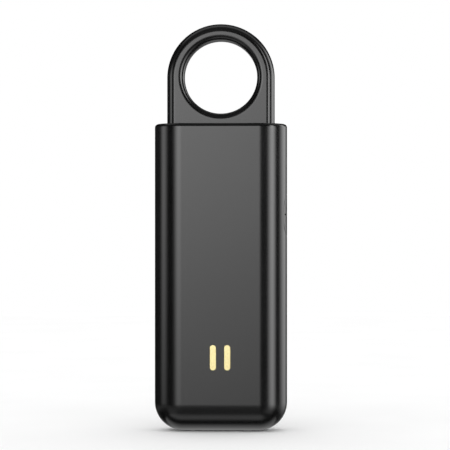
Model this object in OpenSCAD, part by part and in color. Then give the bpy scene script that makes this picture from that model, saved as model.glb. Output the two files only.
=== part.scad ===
// Personal safety alarm: a slim rounded body whose pull ring unplugs from the top to set off the siren.
// Millimetres. Z is up, the ring is at the top, the back with its two charging bars faces -Y,
// and the origin is under the middle of the base.

/* [Body] */
// Width of the body, side to side
body_w = 30; // [28:0.2:36]
// Thickness of the body, back to front, which its sides and base round off completely
body_t = 12.8; // [12.4:0.1:16]
// Height of the body, from the base to the square-cut top
body_h = 69.4; // [67:0.2:84]
// Thickness of the back, front, side and base walls
wall = 1.6; // [1.2:0.1:1.9]
// Thickness of the top wall around the ring's slot
top_wall = 1.8; // [1.4:0.1:2.4]
// Round on the top edge
top_round = 0.8; // [0.3:0.1:1.2]
// Parting line between the two shells
seam_gap = 0.12; // [0.05:0.01:0.3]
// Height of the tongue that laps the parting line from inside
lap_h = 0.9; // [0.5:0.1:1.4]
// Clearance around the tongue
lap_clearance = 0.08; // [0.03:0.01:0.15]

/* [Pull ring] */
// Width of the ring's tab
ring_w = 24.4; // [20:0.2:26]
// Thickness of the ring and its tab
ring_t = 6; // [4.6:0.1:6.6]
// Diameter of the finger hole
ring_hole_d = 16.5; // [12:0.1:17]
// Height of the hole's centre above the body's top
ring_rise = 10.5; // [10:0.1:14]
// Depth of the bulge along the ring's outer edge
ring_side = 1.8; // [1.5:0.1:2.4]
// Small round between the ring's face and that bulge
ring_corner_r = 1; // [0.6:0.1:1.2]
// Round on both rims of the finger hole
ring_hole_round = 1.4; // [0.6:0.1:1.6]
// How far the tab's foot sits inside the body
foot_depth = 3.4; // [2.6:0.1:4]
// Clearance around the tab in its slot
tab_clearance = 0.15; // [0.08:0.01:0.3]

/* [Pull switch] */
// Diameter of the steel pin under the tab
pin_d = 2.5; // [2:0.1:3]
// Length of pin below the tab's foot
pin_reach = 7; // [5:0.1:7.4]
// Length of pin pressed into the foot
pin_hold = 4.2; // [3:0.1:4.4]
// Radial clearance of the pin in its socket
pin_clearance = 0.1; // [0.05:0.01:0.15]
// Width of the socket block
socket_w = 6.4; // [6:0.1:7.2]
// Thickness of the socket block
socket_t = 5.8; // [5:0.1:6]
// Gap between the socket block and the foot above it
socket_gap = 0.4; // [0.2:0.1:0.8]
// Thickness of the two spring leaves that the pin bridges
leaf_t = 0.25; // [0.2:0.05:0.3]
// Gap between a leaf's crest and the pin
leaf_gap = 0.05; // [0.03:0.01:0.1]

/* [Light button] */
// Length of the pill-shaped side button
button_l = 9.4; // [8:0.1:10.4]
// Width of the side button
button_w = 5.8; // [5:0.1:6.2]
// Distance of its centre below the body's top
button_drop = 20.7; // [20:0.1:23]
// Travel of the button when it is pressed
button_travel = 0.4; // [0.2:0.05:0.5]
// Gap all round the button in its window
button_gap = 0.12; // [0.06:0.01:0.2]
// Width of the rim that keeps the button inside the window
button_rim = 0.7; // [0.5:0.1:0.8]
// Depth of the light symbol cut into the button
symbol_depth = 0.15; // [0.1:0.01:0.3]

/* [Charging contacts] */
// Width of a charging bar
bar_w = 1.4; // [1:0.1:1.8]
// Length of a charging bar
bar_l = 5.75; // [4.5:0.05:7]
// Distance between the two bars' centres
bar_pitch = 3.2; // [3:0.1:5]
// Height of the bars' centres above the base
bar_z = 16.8; // [14:0.1:19]
// How far the bars' faces lie below the back
bar_recess = 0.05; // [0:0.01:0.2]
// Width of the flange that stops a bar from inside
bar_rim = 0.5; // [0.3:0.1:0.6]
// Thickness of that flange
bar_flange_t = 0.5; // [0.4:0.1:0.8]

/* [Siren] */
// Diameter of the sounder's brass plate
plate_d = 15.6; // [13:0.1:16]
// Distance of its centre below the body's top
siren_drop = 28.6; // [28.2:0.1:31]
// Thickness of the brass plate
plate_t = 0.15; // [0.1:0.05:0.3]
// Diameter of the ceramic disc on the plate
disc_d = 10.4; // [8:0.1:10.6]
// Thickness of the ceramic disc
disc_t = 0.2; // [0.1:0.05:0.3]
// Depth of the sound chamber in front of the plate
chamber_depth = 1.4; // [1:0.1:1.7]
// Width of the seat that carries the plate's rim
plate_seat = 0.8; // [0.5:0.1:1]
// Thickness of the chamber's wall
chamber_wall = 1; // [0.8:0.1:1.2]
// Diameter of a sound hole
sound_hole_d = 1.2; // [0.8:0.1:1.6]
// Distance between sound holes
sound_hole_pitch = 2.4; // [2:0.1:2.6]
// Rings of sound holes around the middle one
sound_hole_rings = 2; // [1:1:2]

/* [Light] */
// Diameter of the lens in the front
lens_d = 6; // [4.6:0.1:6.4]
// Distance of the lens's centre below the pull switch
lens_drop = 2.1; // [2:0.1:2.6]
// Width of the lens's inner flange
lens_rim = 0.8; // [0.5:0.1:0.9]
// Thickness of the lens's inner flange
lens_flange_t = 0.8; // [0.5:0.1:1]
// Clearance around the lens
lens_clearance = 0.06; // [0.03:0.01:0.1]

/* [Board and battery] */
// Thickness of the circuit board
board_t = 1; // [0.8:0.1:1.2]
// Height of the bosses that carry the board
boss_h = 2.6; // [2.5:0.1:2.9]
// Diameter of a boss
boss_d = 3.8; // [3.2:0.1:4.2]
// Diameter of a board screw's thread
screw_d = 1.5; // [1.2:0.1:1.7]
// Room at each side of the board for the snap hooks
hook_room = 1.87; // [1.8:0.01:2]
// Thickness of a snap hook's arm
hook_t = 0.9; // [0.7:0.05:1]
// Thickness of the foam pad between the battery and the front
pad_t = 1.4; // [1:0.1:1.6]
// Thickness of the tape that holds the battery to the board
tape_t = 0.3; // [0.2:0.05:0.4]
// Gap between the battery and each side of the board
cell_inset = 1; // [0.8:0.1:3]
// Height of the battery's lower end above the base
cell_base = 5; // [4.6:0.1:8]
// Diameter of the battery and sounder leads
lead_d = 0.8; // [0.6:0.1:1]

/* [Hidden] */
$fn = 64;
// Overlap that fuses the shapes of one piece
eps = 0.05;
// How far a cut starts outside the face it opens
over = 1;
// Larger than any piece, for cutting away a whole side
far = 200;

// Body
edge_r = body_t / 2;
flat_x = body_w / 2 - edge_r;
in_r = edge_r - wall;
in_top = body_h - top_wall;
lap_inset = wall / 2;
lap_room = 0.1;

// Pull ring
ring_z = body_h + ring_rise;
foot_z = body_h - foot_depth;
hole_r = ring_hole_d / 2;
ring_half_t = ring_t / 2;
corner_x = ring_w / 2 - ring_side;
corner_y = ring_half_t - ring_corner_r;
bulge_span = pow(ring_side, 2) + pow(corner_y, 2) - pow(ring_corner_r, 2);
bulge_r = bulge_span / (2 * (ring_side - ring_corner_r));
stop_w = 2.4;
stop_h = 1.4;
stop_split = 0.3;
guide_x = 6;
guide_w = 1.2;
guide_h = 3;
foot_chamfer = 0.4;

// Pull switch
pin_tip = 0.6;
pin_bottom = foot_z - pin_reach;
socket_floor = 1.5;
socket_end_gap = 0.8;
socket_z0 = pin_bottom - socket_end_gap - socket_floor;
socket_z1 = foot_z - socket_gap;
leaf_w = 1.6;
leaf_crest_x = pin_d / 2 + leaf_gap;
leaf_set = 0.55;
leaf_slot_gap = 0.15;
leaf_foot_l = 1.9;
leaf_foot_rise = 0.8;
leaf_crest_h = 0.5;
wing_w = 2.2;
wing_t = 1;
wing_h = 2;

// Light button
button_z = body_h - button_drop;
button_skin = 0.1;
button_cap_t = 2.4;
button_inner_r = edge_r - button_cap_t;
button_post_d = 2.6;
button_post_l = 0.45;
post_x0 = flat_x + button_inner_r - button_post_l;
plunger_d = 1.5;
plunger_clearance = 0.05;
plunger_hold = 0.8;
tact_l = 4.6;
tact_d = 2.8;
symbol_ring_r = 0.75;
symbol_line = 0.28;
symbol_rays = 8;
symbol_ray_r = 1.5;
symbol_ray_l = 0.7;

// Circuit board
board_y1 = -(edge_r - wall) + boss_h;
board_y2 = board_y1 + board_t;
board_half = flat_x + sqrt(pow(in_r, 2) - pow(board_y1, 2)) - hook_room;
board_z0 = 6.5;
board_drop = 8.9;
board_z1 = body_h - board_drop;
board_corner = 1;
notch_gap = 0.4;
notch_z = socket_z0 - notch_gap;
screw_inset = 1.7;
screw_hole_gap = 0.15;
screw_head_d = 2.8;
screw_head_h = 0.9;
screw_cross_l = 1.74;
screw_cross_w = 0.5;
screw_cross_depth = 0.45;
screw_grip = 2.2;
screw_x = board_half - screw_inset;
screw_drops = [11.6, 35.8];
post_x = 7;
post_z = 11;
post_d = 3;

// Parts on the board's back: place across the board and below the body's top, and size
controller_at = [-4, 28.4];
controller_size = [3.9, 4.9, 1.3];
controller_pitch = 1.27;
charger_at = [-4.4, 37.4];
charger_size = [1.6, 2.9, 1];
charger_pitch = 0.95;
driver_at = [4.6, 36.4];
driver_size = [2.5, 4.4, 1.2];
driver_pitch = 2.3;
leg_w = 0.4;
leg_t = 0.2;
leg_reach = 0.6;
chip_gap = 0.1;
coil_x = 4.2;
coil_drop = 27.4;
coil_d = 5.8;
coil_h = 2;
coil_rim_h = 0.45;
coil_waist_d = 5;
capacitor_xs = [-1.3, 0.1];
capacitor_drops = [21.5, 38];
capacitor_size = [1.1, 2, 0.85];
resistor_edge = 3.6;
resistor_pitch = 1.6;
resistor_drops = [18.4, 22];
resistor_size = [0.8, 1.6, 0.45];
cap_l = 0.35;
cap_lip = 0.04;

// Snap hooks along both sides
hook_gap = 0.35;
hook_w = 4;
hook_zs = [14, 28];
hook_x0 = board_half + hook_gap;
hook_x1 = hook_x0 + hook_t;
barb_reach = 0.6;
barb_l = 1;
catch_gap = 0.15;
catch_t = 0.9;
catch_y = -0.7;
barb_gap = 0.1;
barb_y = catch_y - catch_t - barb_gap;

// Siren
siren_z = body_h - siren_drop;
plate_y = in_r - chamber_depth - plate_t;
plate_gap = 0.15;
disc_y = plate_y - disc_t;
chamber_l = 2.6;
gasket_w = 1.05;
mesh_t = 0.12;
mesh_margin = 0.5;

// Light
lens_z = socket_z0 - lens_drop;
lens_recess = 0.1;
stem_d = 3.6;
led_w = 2.8;
led_l = 3.5;
led_t = 0.7;
led_window_d = 2.2;
stem_gap = 0.4;

// Battery
cell_half = board_half - cell_inset;
cell_y0 = board_y2 + tape_t;
pad_gap = 0.15;
cell_y1 = in_r - pad_t - 2 * pad_gap;
cell_top_gap = 0.85;
cell_z1 = siren_z - plate_d / 2 - plate_gap - chamber_wall - cell_top_gap;
cell_fold = 1;
tape_inset = 3;
pad_inset = 4;
guard_l = 2.8;
guard_t = 0.8;
guard_inset = 3;
guard_gap = 0.1;
guard_y = (cell_y0 + cell_y1) / 2 - guard_t / 2;
lead_x = 2.6;
lead_rise = 2.4;
bend_r = 0.9;

// Contacts
spring_t = 0.15;
spring_w = 1.3;
spring_l = 6;
spring_gap = 0.05;
spring_foot_l = 2.2;
spring_crest = 1.2;

// Finish colours
shell_colour = [0.16, 0.16, 0.17];
ring_colour = [0.18, 0.18, 0.19];
gold = [0.95, 0.86, 0.58];
steel = [0.72, 0.73, 0.75];
board_green = [0.07, 0.33, 0.2];
chip_black = [0.09, 0.09, 0.1];

// Depth outline of the body: round base, straight back and front, rounded or square top
module depth_outline(r, top_z, top_r) {
    translate([0, edge_r]) difference() {
        circle(r);
        translate([-far, 0]) square([2 * far, far]);
    }
    translate([-r, edge_r]) square([2 * r, top_z - top_r - edge_r]);
    if (top_r > 0) {
        translate([-r + top_r, top_z - top_r]) square([2 * (r - top_r), top_r]);
        for (s = [-1, 1])
            translate([s * (r - top_r), top_z - top_r]) intersection() {
                circle(top_r);
                translate([s > 0 ? 0 : -top_r, 0]) square(top_r);
            }
    }
}

// The body's form, set in from its outside by an inset, up to a given top
module body_form(inset, top_z, top_r = 0) {
    r = edge_r - inset;
    rotate([90, 0, 90]) translate([0, 0, -flat_x]) linear_extrude(2 * flat_x)
        depth_outline(r, top_z, top_r);
    for (s = [-1, 1])
        translate([s * flat_x, 0, 0]) rotate([0, 0, -90 * s]) rotate_extrude(angle = 180) intersection() {
            depth_outline(r, top_z, top_r);
            translate([0, -far]) square([far, 2 * far]);
        }
}

// Slab across the whole part between two depths
module depth_slab(y0, y1) {
    translate([-far, y0, -far]) cube([2 * far, y1 - y0, 2 * far]);
}

// Outline with half-round ends, standing along the second axis
module pill(length, width) {
    straight = length - width;
    translate([-width / 2, -straight / 2]) square([width, straight]);
    for (s = [-1, 1])
        translate([0, s * straight / 2]) circle(d = width);
}

// Plan outline of the ring's tab, grown by a clearance: flat faces with bulged ends
module tab_outline(grow = 0) {
    reach = 2 * (bulge_r + grow);
    bulge_x = ring_w / 2 - bulge_r;
    slope = [corner_x - bulge_x, corner_y] / norm([corner_x - bulge_x, corner_y]);
    translate([-corner_x, -ring_half_t - grow]) square([2 * corner_x, ring_t + 2 * grow]);
    for (s = [-1, 1])
        mirror([s > 0 ? 0 : 1, 0]) {
            translate([bulge_x, 0]) intersection() {
                circle(bulge_r + grow);
                polygon([[0, 0], reach * [slope.x, -slope.y], [reach, 0], reach * slope]);
            }
            for (t = [-1, 1])
                translate([corner_x, t * corner_y]) circle(ring_corner_r + grow);
        }
}

// Cutter for the finger hole, with both rims rounded over
module finger_hole() {
    rim_r = hole_r + ring_hole_round;
    rim_y = ring_half_t - ring_hole_round;
    translate([0, 0, ring_z]) rotate([90, 0, 0]) rotate_extrude() difference() {
        translate([0, -ring_half_t - over]) square([rim_r, ring_t + 2 * over]);
        translate([hole_r, -rim_y]) square([2 * ring_hole_round, 2 * rim_y]);
        for (s = [-1, 1])
            translate([rim_r, s * rim_y]) circle(ring_hole_round);
    }
}

// Cylinder along the depth axis, from y0 to y1
module depth_rod(x, z, d, y0, y1) {
    translate([x, y0, z]) rotate([-90, 0, 0]) cylinder(d = d, h = y1 - y0);
}

// Pill-shaped bar along the width axis, centred on the side button
module button_prism(grow, x0, x1) {
    translate([x0, 0, button_z]) rotate([90, 0, 90]) linear_extrude(x1 - x0)
        pill(button_l + 2 * grow, button_w + 2 * grow);
}

// Upright cylinder on the axis of the right-hand side round
module side_round(r) {
    translate([flat_x, 0, button_z - far / 2]) cylinder(r = r, h = far);
}

// Half of the case that both shells share: wall, slot rims, stops and guides
module shell_half(side) {
    stop_in = stop_split + eps;
    intersection() {
        difference() {
            body_form(0, body_h, top_round);
            body_form(wall, in_top);
        }
        if (side < 0) depth_slab(-far, -seam_gap / 2);
        else depth_slab(seam_gap / 2, far);
    }
    for (s = [-1, 1]) {
        translate([s * flat_x - stop_w / 2, side > 0 ? stop_in : -in_r - eps, foot_z - stop_h])
            cube([stop_w, in_r + eps - stop_in, stop_h]);
        translate([s * guide_x - guide_w / 2, 0, in_top + eps - guide_h])
            translate([0, side > 0 ? ring_half_t + tab_clearance : -in_r - eps, 0])
            cube([guide_w, in_r + eps - ring_half_t - tab_clearance, guide_h]);
    }
}

// Slot for the ring's tab and window for the side button, cut through both shells
module shell_openings() {
    translate([0, 0, foot_z]) linear_extrude(far) tab_outline(tab_clearance);
    button_prism(button_gap, flat_x, body_w);
}

module back_shell() {
    color(shell_colour) difference() {
        union() {
            shell_half(-1);
            intersection() {
                difference() {
                    body_form(lap_inset + lap_clearance, body_h - lap_inset - lap_clearance);
                    body_form(wall, in_top);
                }
                depth_slab(-seam_gap / 2 - wall, lap_h);
            }
            for (s = [-1, 1]) {
                for (drop = screw_drops)
                    depth_rod(s * screw_x, body_h - drop, boss_d, -in_r - wall / 2, board_y1);
                depth_rod(s * post_x, post_z, post_d, -in_r - eps, board_y1);
                for (z = hook_zs) {
                    x0 = hook_x1 + catch_gap;
                    x1 = flat_x + in_r + wall / 2 - catch_gap;
                    translate([s > 0 ? x0 : -x1, catch_y - catch_t, z - hook_w / 2])
                        cube([x1 - x0, catch_t, hook_w]);
                }
            }
        }
        shell_openings();
        for (s = [-1, 1]) {
            for (drop = screw_drops)
                depth_rod(s * screw_x, body_h - drop, screw_d, board_y1 - screw_grip - eps, board_y1 + eps);
            translate([s * bar_pitch / 2, -in_r + eps, bar_z]) rotate([90, 0, 0])
                linear_extrude(wall + over) pill(bar_l, bar_w);
        }
    }
}

module front_shell() {
    chamber_r = plate_d / 2 + plate_gap;
    color(shell_colour) difference() {
        union() {
            difference() {
                shell_half(1);
                intersection() {
                    body_form(lap_inset, body_h - lap_inset);
                    depth_slab(-far, lap_h + lap_room);
                }
            }
            depth_rod(0, siren_z, 2 * (chamber_r + chamber_wall), in_r - chamber_l, in_r + eps);
            for (s = [-1, 1])
                for (z = hook_zs)
                    snap_hook(s, z);
        }
        shell_openings();
        depth_rod(0, siren_z, 2 * chamber_r, -far, in_r - chamber_depth);
        depth_rod(0, siren_z, 2 * (chamber_r - plate_seat), -far, in_r);
        for (p = sound_spots())
            depth_rod(p.x, siren_z + p.y, sound_hole_d, 0, far);
        depth_rod(0, lens_z, lens_d + 2 * lens_clearance, 0, far);
    }
}

// Arm with a barb that clicks behind a catch in the back shell
module snap_hook(s, z) {
    root_y = in_r - wall / 2;
    mirror([s > 0 ? 0 : 1, 0, 0]) translate([0, 0, z - hook_w / 2]) linear_extrude(hook_w) polygon([
        [hook_x0, barb_y - barb_l], [hook_x1, barb_y - barb_l], [hook_x1 + barb_reach, barb_y],
        [hook_x1, barb_y], [hook_x1, root_y], [hook_x0, root_y]
    ]);
}

// Centres of the sound holes: one in the middle and six per step outwards
function sound_spots() = concat([[0, 0]], [
    for (k = [1:sound_hole_rings], i = [0:5], j = [0:k - 1])
        let (a = [cos(60 * i), sin(60 * i)], b = [cos(60 * i + 120), sin(60 * i + 120)])
        sound_hole_pitch * (k * a + j * b)
]);

module pull_ring() {
    color(ring_colour) difference() {
        union() {
            translate([0, 0, ring_z]) rotate([90, 0, 0]) rotate_extrude(angle = 180) intersection() {
                tab_outline();
                translate([0, -far]) square([far, 2 * far]);
            }
            translate([0, 0, foot_z]) linear_extrude(ring_z - foot_z) tab_outline();
        }
        finger_hole();
        translate([0, 0, foot_z - over]) cylinder(d = pin_d, h = pin_hold + over);
        for (s = [-1, 1])
            translate([0, s * ring_half_t, foot_z]) rotate([45, 0, 0])
                cube([2 * body_w, foot_chamfer * sqrt(2), foot_chamfer * sqrt(2)], center = true);
    }
}

module pull_pin() {
    color(steel) {
        translate([0, 0, pin_bottom + pin_tip]) cylinder(d = pin_d, h = pin_reach - pin_tip + pin_hold);
        translate([0, 0, pin_bottom]) cylinder(d1 = pin_d - pin_tip, d2 = pin_d, h = pin_tip);
    }
}

module pull_switch_socket() {
    slot_x = leaf_crest_x + leaf_set + leaf_t + leaf_slot_gap;
    slot_w = leaf_w + 2 * leaf_slot_gap;
    wing_x = socket_w / 2 + wing_w;
    color(chip_black) difference() {
        union() {
            translate([-socket_w / 2, -socket_t / 2, socket_z0])
                cube([socket_w, socket_t, socket_z1 - socket_z0]);
            translate([-wing_x, board_y2, board_z1 - wing_h]) cube([2 * wing_x, wing_t, wing_h]);
        }
        translate([0, 0, socket_z0 + socket_floor])
            cylinder(r = pin_d / 2 + pin_clearance, h = socket_z1 - socket_z0);
        for (s = [-1, 1])
            translate([s > 0 ? 0 : -slot_x, -slot_w / 2, socket_z0 - over])
                cube([slot_x, slot_w, socket_z1 - socket_z0 + over - socket_floor]);
    }
}

// Bowed strip beside the pin, with a foot that is soldered to the board
module switch_leaf(s) {
    crest_z = (socket_z0 + socket_z1) / 2;
    back_x = leaf_crest_x + leaf_set;
    top_z = socket_z1 - 2 * socket_floor;
    low_z = socket_z0 + socket_floor;
    foot_z0 = socket_z0 - notch_gap - leaf_foot_l;
    bow = [
        [back_x, low_z], [leaf_crest_x, crest_z - leaf_crest_h],
        [leaf_crest_x, crest_z + leaf_crest_h], [back_x, top_z]
    ];
    color(gold) mirror([s > 0 ? 0 : 1, 0, 0]) {
        translate([0, leaf_w / 2, 0]) rotate([90, 0, 0]) linear_extrude(leaf_w) polygon(concat(
            [[back_x, socket_z0 - notch_gap]], bow,
            [for (i = [3:-1:0]) bow[i] + [leaf_t, 0]], [[back_x + leaf_t, socket_z0 - notch_gap]]
        ));
        translate([back_x, board_y2, foot_z0]) cube([leaf_t, leaf_foot_rise, socket_z0 - foot_z0]);
        translate([back_x, board_y2, foot_z0]) cube([leaf_w, leaf_t, leaf_foot_l]);
    }
}

module switch_leaf_left() {
    switch_leaf(-1);
}

module switch_leaf_right() {
    switch_leaf(1);
}

module light_button() {
    color(ring_colour) difference() {
        union() {
            intersection() {
                button_prism(0, flat_x, body_w);
                side_round(edge_r);
            }
            intersection() {
                button_prism(button_rim, flat_x, body_w);
                side_round(in_r - button_skin);
            }
            translate([post_x0, 0, button_z]) rotate([0, 90, 0])
                cylinder(d = button_post_d, h = button_post_l + eps);
        }
        difference() {
            side_round(button_inner_r);
            translate([post_x0, 0, button_z]) rotate([0, 90, 0]) cylinder(d = button_post_d, h = far);
        }
        light_symbol();
    }
}

// Ring with rays around it, cut into the button's face
module light_symbol() {
    intersection() {
        difference() {
            side_round(edge_r + over);
            side_round(edge_r - symbol_depth);
        }
        translate([flat_x, 0, button_z]) rotate([0, 90, 0]) {
            difference() {
                cylinder(r = symbol_ring_r, h = body_w);
                translate([0, 0, -over]) cylinder(r = symbol_ring_r - symbol_line, h = body_w + 2 * over);
            }
            for (i = [0:symbol_rays - 1])
                rotate([0, 0, 360 * i / symbol_rays])
                    translate([symbol_ray_r, -symbol_line / 2, 0])
                        cube([symbol_ray_l, symbol_line, body_w]);
        }
    }
}

module tact_switch() {
    half_t = plunger_d;
    color(steel) difference() {
        translate([board_half - tact_d, board_y2, button_z - tact_l / 2])
            cube([tact_d, half_t - board_y2, tact_l]);
        translate([board_half - plunger_hold - button_travel - plunger_clearance, 0, button_z])
            rotate([0, 90, 0]) cylinder(r = plunger_d / 2 + plunger_clearance, h = tact_d);
    }
}

module tact_plunger() {
    color(chip_black) translate([board_half - plunger_hold, 0, button_z]) rotate([0, 90, 0])
        cylinder(d = plunger_d, h = plunger_hold + post_x0 - board_half);
}

module light_lens() {
    color([0.92, 0.94, 0.95]) {
        depth_rod(0, lens_z, lens_d, in_r - eps, edge_r - lens_recess);
        depth_rod(0, lens_z, lens_d + 2 * lens_rim, in_r - lens_flange_t, in_r);
        depth_rod(0, lens_z, stem_d, board_y2 + led_t + stem_gap, in_r - lens_flange_t + eps);
    }
}

module light_led() {
    color([0.93, 0.9, 0.72]) difference() {
        translate([-led_w / 2, board_y2, lens_z - led_l / 2]) cube([led_w, led_t, led_l]);
        depth_rod(0, lens_z, led_window_d, board_y2 + led_t / 2, board_y2 + 2 * led_t);
    }
}

module main_board() {
    inner = board_half - board_corner;
    notch_half = socket_w / 2 + notch_gap;
    color(board_green) difference() {
        union() {
            translate([-board_half, board_y1, board_z0 + board_corner])
                cube([2 * board_half, board_t, board_z1 - board_z0 - 2 * board_corner]);
            translate([-inner, board_y1, board_z0]) cube([2 * inner, board_t, board_z1 - board_z0]);
            for (s = [-1, 1], z = [board_z0 + board_corner, board_z1 - board_corner])
                depth_rod(s * inner, z, 2 * board_corner, board_y1, board_y2);
        }
        translate([-notch_half, board_y1 - over, notch_z]) cube([2 * notch_half, board_t + 2 * over, far]);
        for (s = [-1, 1], drop = screw_drops)
            depth_rod(s * screw_x, body_h - drop, screw_d + 2 * screw_hole_gap,
                board_y1 - over, board_y2 + over);
    }
}

module board_screws() {
    color(steel)
        for (s = [-1, 1], drop = screw_drops)
            translate([s * screw_x, 0, body_h - drop]) difference() {
                union() {
                    depth_rod(0, 0, screw_d, board_y1 - screw_grip, board_y2 + eps);
                    depth_rod(0, 0, screw_head_d, board_y2, board_y2 + screw_head_h);
                }
                for (a = [0, 90])
                    translate([0, board_y2 + screw_head_h, 0]) rotate([0, a, 0])
                        cube([screw_cross_l, 2 * screw_cross_depth, screw_cross_w], center = true);
            }
}

// Chip on the board's back with legs along both sides
module legged_chip(at, size, legs, pitch) {
    half = size.x / 2;
    translate([at.x, board_y1, body_h - at.y]) {
        translate([-half, -chip_gap - size.z, -size.y / 2]) cube([size.x, size.z, size.y]);
        for (s = [-1, 1], i = [0:legs - 1])
            translate([0, 0, pitch * (i - (legs - 1) / 2) - leg_w / 2]) {
                translate([s > 0 ? half - eps : -half - leg_reach + eps, -leg_t, 0])
                    cube([leg_reach, leg_t, leg_w]);
                translate([s > 0 ? half - eps : -half - leg_t + eps, -size.z / 2, 0])
                    cube([leg_t, size.z / 2, leg_w]);
            }
    }
}

module controller_chip() {
    color(chip_black) legged_chip(controller_at, controller_size, 4, controller_pitch);
}

module charger_chip() {
    color(chip_black) legged_chip(charger_at, charger_size, 3, charger_pitch);
}

module driver_transistor() {
    color(chip_black) legged_chip(driver_at, driver_size, 2, driver_pitch);
}

// Drum-shaped coil with a waist for its winding
module boost_coil() {
    coil_z = body_h - coil_drop;
    color([0.2, 0.2, 0.21]) {
        depth_rod(coil_x, coil_z, coil_d, board_y1 - coil_rim_h, board_y1);
        depth_rod(coil_x, coil_z, coil_waist_d, board_y1 - coil_h, board_y1);
        depth_rod(coil_x, coil_z, coil_d, board_y1 - coil_h, board_y1 - coil_h + coil_rim_h);
    }
}

// Small block with two soldered end caps on the board's back
module chip_block(x, drop, size) {
    translate([x - size.x / 2, board_y1 - size.z, body_h - drop]) {
        translate([0, 0, -size.y / 2]) cube([size.x, size.z, size.y]);
        for (s = [-1, 1])
            translate([-cap_lip, -cap_lip, s * (size.y - cap_l) / 2 - cap_l / 2 - cap_lip])
                cube([size.x + 2 * cap_lip, size.z + cap_lip, cap_l + 2 * cap_lip]);
    }
}

module chip_capacitors() {
    color([0.62, 0.5, 0.36])
        for (x = capacitor_xs, drop = capacitor_drops)
            chip_block(x, drop, capacitor_size);
}

module chip_resistors() {
    color(chip_black)
        for (i = [0:2], drop = resistor_drops)
            chip_block(resistor_edge + i * resistor_pitch - board_half, drop, resistor_size);
}

// Charging bar set through the back wall, with its flange inside
module charge_bar(s) {
    color(gold) translate([s * bar_pitch / 2, 0, bar_z]) rotate([90, 0, 0]) {
        translate([0, 0, in_r - eps]) linear_extrude(wall - bar_recess + eps) pill(bar_l, bar_w);
        translate([0, 0, in_r - bar_flange_t]) linear_extrude(bar_flange_t)
            pill(bar_l + 2 * bar_rim, bar_w + 2 * bar_rim);
    }
}

module charge_bar_left() {
    charge_bar(-1);
}

module charge_bar_right() {
    charge_bar(1);
}

// Bowed fingers from the board up to the charging bars
module bar_springs() {
    foot_y = board_y1 - spring_t;
    crest_y = -in_r + bar_flange_t + spring_gap;
    z0 = bar_z - spring_l / 2;
    z1 = bar_z + spring_l / 2;
    arm = [
        [foot_y, z0 + spring_t], [crest_y, bar_z - spring_crest / 2],
        [crest_y, bar_z + spring_crest / 2], [crest_y + 2 * spring_t, z1]
    ];
    color(gold)
        for (s = [-1, 1])
            translate([s * bar_pitch / 2 - spring_w / 2, 0, 0]) rotate([90, 0, 90]) linear_extrude(spring_w)
                polygon(concat(
                    [[board_y1, z0 - spring_foot_l], [foot_y, z0 - spring_foot_l]], arm,
                    [for (i = [3:-1:1]) arm[i] + [spring_t, 0]], [[board_y1, z0 + spring_t]]
                ));
}

// Pouch cell with rounded long edges
module battery_cell() {
    t = cell_y1 - cell_y0;
    fold = min(cell_fold, t / 2 - eps);
    color([0.78, 0.79, 0.8]) translate([0, cell_y0, cell_base]) linear_extrude(cell_z1 - cell_base) {
        translate([-cell_half + fold, 0]) square([2 * (cell_half - fold), t]);
        translate([-cell_half, fold]) square([2 * cell_half, t - 2 * fold]);
        for (s = [-1, 1], y = [fold, t - fold])
            translate([s * (cell_half - fold), y]) circle(fold);
    }
}

module battery_guard_board() {
    half = cell_half - guard_inset;
    color(board_green) translate([-half, guard_y, cell_z1 + guard_gap]) cube([2 * half, guard_t, guard_l]);
}

// Quarter turn of a lead, from upright to straight back
module lead_bend(x, y, z) {
    translate([x, y - bend_r, z]) rotate([90, 0, 90]) rotate_extrude(angle = 90)
        translate([bend_r, 0]) circle(d = lead_d);
}

// Lead from the guard board's upper edge to the main board's front
module battery_lead(x) {
    z0 = cell_z1 + guard_gap + guard_l;
    y0 = guard_y + guard_t / 2;
    z1 = z0 + lead_rise;
    translate([x, y0, z0]) cylinder(d = lead_d, h = lead_rise - bend_r);
    lead_bend(x, y0, z1 - bend_r);
    depth_rod(x, z1, lead_d, board_y2, y0 - bend_r);
}

module battery_lead_red() {
    color([0.75, 0.1, 0.08]) battery_lead(-lead_x);
}

module battery_lead_black() {
    color(chip_black) battery_lead(lead_x);
}

module battery_tape() {
    half = cell_half - tape_inset;
    z0 = max(cell_base, board_z0) + tape_inset;
    color([0.9, 0.9, 0.86]) translate([-half, board_y2, z0])
        cube([2 * half, tape_t, cell_z1 - tape_inset - z0]);
}

module battery_pad() {
    half = cell_half - pad_inset;
    z0 = cell_base + pad_inset;
    color([0.25, 0.25, 0.27]) translate([-half, cell_y1 + pad_gap, z0])
        cube([2 * half, pad_t, cell_z1 - pad_inset - z0]);
}

module sounder_plate() {
    color([0.83, 0.68, 0.33]) depth_rod(0, siren_z, plate_d, plate_y, plate_y + plate_t);
}

module sounder_disc() {
    color([0.88, 0.87, 0.83]) depth_rod(0, siren_z, disc_d, disc_y, plate_y);
}

// Rubber ring that holds the plate on its seat
module sounder_gasket() {
    color(chip_black) difference() {
        depth_rod(0, siren_z, plate_d, in_r - chamber_l, plate_y);
        depth_rod(0, siren_z, plate_d - 2 * gasket_w, 0, far);
    }
}

// Short lead from the back of the ceramic disc to the board
module sounder_lead_red() {
    color([0.75, 0.1, 0.08]) depth_rod(disc_d / 4, siren_z + disc_d / 4, lead_d, board_y2, disc_y);
}

// Short lead from the plate's rim, beside the disc, to the board
module sounder_lead_black() {
    rim_x = (disc_d / 2 + plate_d / 2 - gasket_w) / 2;
    color(chip_black) depth_rod(-rim_x, siren_z, lead_d, board_y2, plate_y);
}

// Fine dust mesh behind the sound holes
module sound_mesh() {
    mesh_r = plate_d / 2 + plate_gap - plate_seat - mesh_margin;
    color([0.3, 0.3, 0.31]) depth_rod(0, siren_z, 2 * mesh_r, in_r - mesh_t, in_r);
}

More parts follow.
